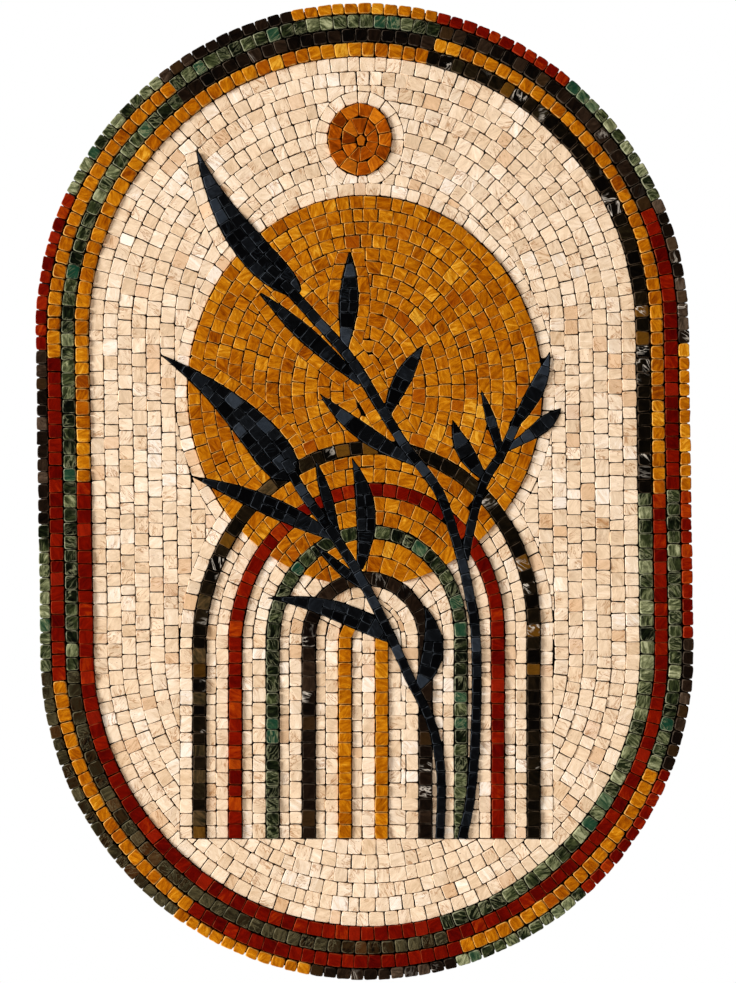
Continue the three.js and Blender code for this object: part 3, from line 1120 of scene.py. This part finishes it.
def stone_veins(nodes, look, place, layered, seed):
    """Thin lines where a noise crosses its middle, in some areas of some stones."""
    noise = nodes.noise(layered, look["vein_scale"], 3, 0.6, 1.2)
    line = nodes.math("ABSOLUTE", nodes.math("SUBTRACT", noise, 0.5))
    vein = nodes.spread(line, 0.0, look["vein_width"], 1.0, 0.0)
    where = nodes.noise(place, VEIN_AREA_SCALE, 1)
    where = nodes.spread(where, look["vein_area"], look["vein_area"] + 0.12)
    veined = nodes.spread(seed, look["veined_from"], look["veined_from"] + 0.1, 0.0, look["vein_share"])
    return nodes.product(vein, where, veined)


def stone_shade(nodes, look, cloud, grain):
    """A grey that the colour is multiplied by: soft patches with a fine grain."""
    mottle = look["mottle"]
    soft = nodes.spread(cloud, *MOST_NOISE, 1 - mottle, 1 + 0.6 * mottle)
    fine = nodes.spread(grain, *MOST_NOISE, 1 - 0.3 * mottle, 1 + 0.3 * mottle)
    shade = nodes.product(soft, fine)
    return nodes.add("ShaderNodeCombineColor", {0: shade, 1: shade, 2: shade}).outputs[0]


def stone_material(name, look):
    """Veined, mottled stone, cut differently in every tessera, with paler edges that are partly wear and
    partly a painted highlight.
    """
    material, nodes = new_material(name)
    tone = nodes.attribute("tone")
    seed = nodes.attribute("seed")
    place, layered = stone_places(nodes, seed, tone)
    cloud = nodes.noise(layered, look["cloud_scale"], 4, 0.65, 0.6)
    grain = nodes.noise(place, GRAIN_SCALE, 2, 0.6)
    vein = stone_veins(nodes, look, place, layered, seed)

    swirl = nodes.product(nodes.math("SUBTRACT", cloud, 0.5), look["swirl"])
    colour = nodes.ramp(nodes.math("ADD", tone, swirl), look["tones"])
    lot = nodes.math("FRACT", nodes.product(seed, LOT_STEP))
    odd = nodes.spread(lot, look["odd_from"], look["odd_from"] + 0.01, 0.0, look["odd_share"])
    colour = nodes.mix(odd, colour, linear(look["odd"]))
    colour = nodes.mix(1.0, colour, stone_shade(nodes, look, cloud, grain), "MULTIPLY")
    colour = nodes.mix(vein, colour, linear(look["vein"]))
    speck = nodes.spread(nodes.noise(place, SPECK_SCALE, 2), 0.68, 0.74, 0.0, look["speck_share"])
    colour = nodes.mix(speck, colour, linear(look["speck"]))
    # Paler rim on the bevels, in patches: partly worn edge, partly a painted highlight where the bevel
    # catches the light
    rim_wear_and_highlight_patches = nodes.spread(nodes.noise(place, RIM_PATCH_SCALE, 2), 0.42, 0.58, 0.12, 1.0)
    rim_wear_and_highlight = nodes.product(nodes.attribute("rim_wear_and_highlight"), rim_wear_and_highlight_patches, look["rim_wear_and_highlight_share"])
    colour = nodes.mix(rim_wear_and_highlight, colour, linear(look["rim_wear_and_highlight"]))

    height = nodes.math("ADD", nodes.product(cloud, 0.7), nodes.product(grain, 0.3))
    height = nodes.math("SUBTRACT", height, nodes.product(vein, 0.3))
    roughness = nodes.spread(grain, *MOST_NOISE, look["roughness"] - 0.06, look["roughness"] + 0.08)
    nodes.surface(colour, roughness, height, strength=0.35, distance=0.0004, specular=0.015)
    return material


def bed_material():
    """Dark tile adhesive, slightly rough, with paler dust."""
    material, nodes = new_material("bed")
    place = nodes.object_place()
    dust = nodes.noise(place, 60, 5, 0.6)
    colour = nodes.ramp(dust, [(0.3, (8, 7, 6)), (0.6, (16, 14, 12)), (0.8, (30, 27, 24))])
    nodes.surface(colour, 0.9, nodes.noise(place, 900, 3), strength=0.5, distance=0.0005)
    return material


def net_material():
    """Woven fibre net, off-white where the adhesive has not soaked it."""
    material, nodes = new_material("net")
    place = nodes.object_place()
    soaked = nodes.noise(place, 26, 5, 0.65)
    colour = nodes.ramp(soaked, [(0.35, (70, 66, 62)), (0.5, (150, 146, 138)), (0.65, (206, 203, 194))])
    nodes.surface(colour, 0.8, nodes.noise(place, 2200, 2), strength=0.6, distance=0.0002)
    return material


# Pieces

# The parts of its palette that the left and the right half of an arch take
ARCH_TONES = {
    "brown": [(0.0, 0.86), (0.0, 0.58)],
    "red": [(0.15, 0.95), (0.1, 0.68)],
    "green": [(0.0, 0.48), (0.0, 0.68)],
    "dark": [(0.1, 0.75), (0.1, 0.75)],
    "ochre": [(0.35, 0.75), (0.35, 0.75)],
}

# The part of its palette that a colour takes in each border row, from the outside in
ROW_TONES = {
    "ochre": [(0.15, 0.82)] * 4,
    "red": [(0.15, 0.8), (0.05, 0.62), (0.1, 0.75), (0.1, 0.66)],
    "green": [(0.3, 0.9), (0.1, 0.85), (0.0, 0.8), (0.15, 0.95)],
    "olive": [(0.1, 0.95)] * 4,
    "brown": [(0.0, 0.62)] * 4,
    "dark": [(0.1, 1.0), (0.0, 0.8), (0.0, 0.7)],
}

# Colours whose stones differ evenly over their part of the palette
MIXED = ("red", "green", "olive", "brown", "dark")

MATERIALS = {
    colour: stone_material(f"{colour}_stone", {**USUAL_LOOK, **look}) for colour, look in STONES.items()
}
NODES = sorted(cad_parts)


def nodes_of(prefix):
    return [name for name in NODES if name == prefix or name.startswith(prefix + "_")]


def dress(name, stones, colour, finish, nodes, seed, tones=(0.0, 1.0)):
    """One piece of the panel: stones of one colour, which stand for some CAD nodes."""
    rng = random.Random(seed)
    depth = FIELD_STONE_DEPTH if colour == "cream" else PICTURE_STONE_DEPTH
    low, high = tones
    mesh = StoneMesh()
    for outline in stones:
        if colour in MIXED:
            tone = rng.uniform(low, high)
        else:
            tone = rng.gauss((low + high) / 2, (high - low) / 4)
        mesh.add(outline, depth, finish, min(max(tone, 0), 1), rng)
    piece = mesh.build(name)
    piece.data.materials.append(MATERIALS[colour])
    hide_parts(*nodes)
    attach(piece, "root")


def add_field_and_disc():
    """Cream stones in four pieces, and the ochre stones of the disc in two."""
    field, rings = lay_field()
    cream, ochre = lay_between_arches()
    field.sort(key=lambda outline: centre(outline).imag)
    half = len(field) // 2
    pieces = [
        ("field_lower_stones", field[:half], (0.3, 0.9)),
        ("field_upper_stones", field[half:], (0.3, 0.9)),
        ("field_ring_stones", rings, (0.4, 1.0)),
        ("field_arch_stones", cream, (0.25, 0.95)),
    ]
    for seed, (name, stones, tones) in enumerate(pieces, 1):
        dress(name, stones, "cream", CUT_CREAM, nodes_of("field"), seed, tones)
    dress("disc_stones", lay_disc(), "ochre", CUT, nodes_of("disc"), 5, (0.25, 0.8))
    dress("disc_arch_stones", ochre, "ochre", CUT, nodes_of("disc"), 6, (0.25, 0.75))


def add_arches():
    """Each arch in two pieces, its left and its right half."""
    for colour, stones in lay_arches().items():
        finish = TUMBLED if colour == "green" else CUT
        halves = (("left", -1, 7), ("right", 1, 9))
        for (side, sign, seed), tones in zip(halves, ARCH_TONES[colour]):
            name = f"arch_{colour}_{side}_stones"
            chosen = [stone for stone in stones if centre(stone).real * sign > 0]
            dress(name, chosen, colour, finish, nodes_of(f"arch_{colour}"), seed, tones)


def add_border():
    """Each run of one colour in a piece of its own."""
    for seed, ((row, number, colour), stones) in enumerate(lay_border().items(), 100):
        node = f"border_row_{row}_run_{number}_{colour}"
        finish = CUT if colour == "red" and row > 1 else TUMBLED
        dress(f"{node}_stones", stones, colour, finish, [node], seed, ROW_TONES[colour][row - 1])


def bed_slab():
    """The slab of adhesive, as points and faces."""
    points = []
    faces = []
    outline = capsule_outline(BED_RADIUS)
    sections = [[to_metres(spot, depth) for spot in outline] for depth in (STRAND_RELIEF, BED_DEPTH)]
    prism(points, faces, sections)
    return points, faces


def strand(points, faces, midpoint, reach, phase):
    """One strand of the net, which goes over and under the ones across it."""
    start = (midpoint - reach) * LEAN
    end = (midpoint + reach) * LEAN
    steps = max(2, round(abs(end - start) / NET_PITCH))
    sideways = 1j * unit(end - start) * STRAND_WIDTH
    root = STRAND_RELIEF + STRAND_ROOT
    sections = []
    for i in range(steps + 1):
        middle = lerp(start, end, i / steps)
        top = 0.0 if (i + phase) % 2 else 0.5 * STRAND_RELIEF
        corners = [(0.5, root), (-0.5, root), (-0.25, top), (0.25, top)]
        sections.append([to_metres(middle + sideways * across, depth) for across, depth in corners])
    prism(points, faces, sections)


def bed_net():
    """The strands of the net, upright ones and level ones, as points and faces."""
    points = []
    faces = []
    count = int(BED_RADIUS // NET_PITCH)
    for i in range(-count, count + 1):
        across = i * NET_PITCH
        reach = HALF_STRAIGHT + math.sqrt(BED_RADIUS ** 2 - across ** 2) - NET_MARGIN
        strand(points, faces, across, 1j * reach, i)
    count = int((BED_RADIUS + HALF_STRAIGHT) // NET_PITCH)
    for i in range(-count, count + 1):
        height = i * NET_PITCH
        past = max(abs(height) - HALF_STRAIGHT, 0)
        reach = math.sqrt(max(BED_RADIUS ** 2 - past ** 2, 0)) - NET_MARGIN
        if reach > NET_PITCH:
            strand(points, faces, 1j * height, reach, i + 1)
    return points, faces


def add_backing():
    """The bed of adhesive, and the net that shows on its back."""
    for name, (points, faces), material in (
        ("bed_slab", bed_slab(), bed_material()),
        ("bed_net", bed_net(), net_material()),
    ):
        piece = add_mesh(name, points, faces)
        piece.data.materials.append(material)
        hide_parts("backing")
        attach(piece, "root")


add_field_and_disc()
dress("sun_stones", lay_sun(), "burnt_orange", CUT, ["sun"], 7)
add_arches()
for side, stones in lay_sprigs().items():
    dress(f"sprig_{side}_stones", stones, "slate", CUT, [f"sprig_{side}"], 9, (-0.2, 1.0))
add_border()
add_backing()


# Floor, light and camera, in metres

FLOOR_LEVEL = -0.6
FLOOR_REACH = 3
FLOOR_BACK = 0.9
LAMPS = {
    "key": {"place": (-7.3, -3.1, 1.4), "size": 2.4, "watts": 1015},
    "back": {"place": (3.2, 3.6, 2.2), "size": 2.0, "watts": 260},
}
ROOM_LIGHT = (1.0, 0.84, 0.68, 1.0)
ROOM_STRENGTH = 0.24
WHITE = (1.0, 1.0, 1.0, 1.0)
FLOOR_GREY = (0.9, 0.9, 0.9, 1)
CAMERA_PLACE = (0.00265, -1.8195, 0.0)
LENS = 85
SENSOR_WIDTH = 36


def add_floor():
    corners = [(-FLOOR_REACH, -FLOOR_REACH), (FLOOR_REACH, -FLOOR_REACH),
               (FLOOR_REACH, FLOOR_BACK), (-FLOOR_REACH, FLOOR_BACK)]
    floor = add_mesh("floor", [(x, y, FLOOR_LEVEL) for x, y in corners], [(0, 1, 2, 3)])
    material = bpy.data.materials.new("floor")
    material.use_nodes = True
    shader = material.node_tree.nodes["Principled BSDF"]
    shader.inputs["Base Color"].default_value = FLOOR_GREY
    shader.inputs["Roughness"].default_value = 0.8
    floor.data.materials.append(material)


def add_lamp(name, place, size, watts):
    """A square lamp that shines at the panel's middle."""
    light = bpy.data.lights.new(name, "AREA")
    light.shape = "SQUARE"
    light.size = size
    light.energy = watts
    lamp = add_object(name, light)
    lamp.location = place
    lamp.rotation_euler = (-Vector(place)).to_track_quat("-Z", "Y").to_euler()


def add_world():
    """White behind the panel, and a weak warm light from all sides on it."""
    world = bpy.data.worlds.new("studio")
    world.use_nodes = True
    nodes = Nodes(world.node_tree)
    seen = nodes.add("ShaderNodeLightPath").outputs["Is Camera Ray"]
    strength = nodes.spread(seen, 0.0, 1.0, ROOM_STRENGTH, 1.0)
    colour = nodes.mix(seen, ROOM_LIGHT, WHITE)
    shader = nodes.add("ShaderNodeBackground", {"Color": colour, "Strength": strength})
    nodes.add("ShaderNodeOutputWorld", {"Surface": shader.outputs[0]})
    bpy.context.scene.world = world


def add_camera():
    camera_data = bpy.data.cameras.new("camera")
    camera_data.lens = LENS
    camera_data.sensor_width = SENSOR_WIDTH
    camera = add_object("camera", camera_data)
    camera.location = CAMERA_PLACE
    camera.rotation_euler = (math.pi / 2, 0, 0)
    bpy.context.scene.camera = camera


add_floor()
for name, lamp in LAMPS.items():
    add_lamp(name, **lamp)
add_world()
add_camera()
bpy.context.scene.view_settings.view_transform = "Standard"
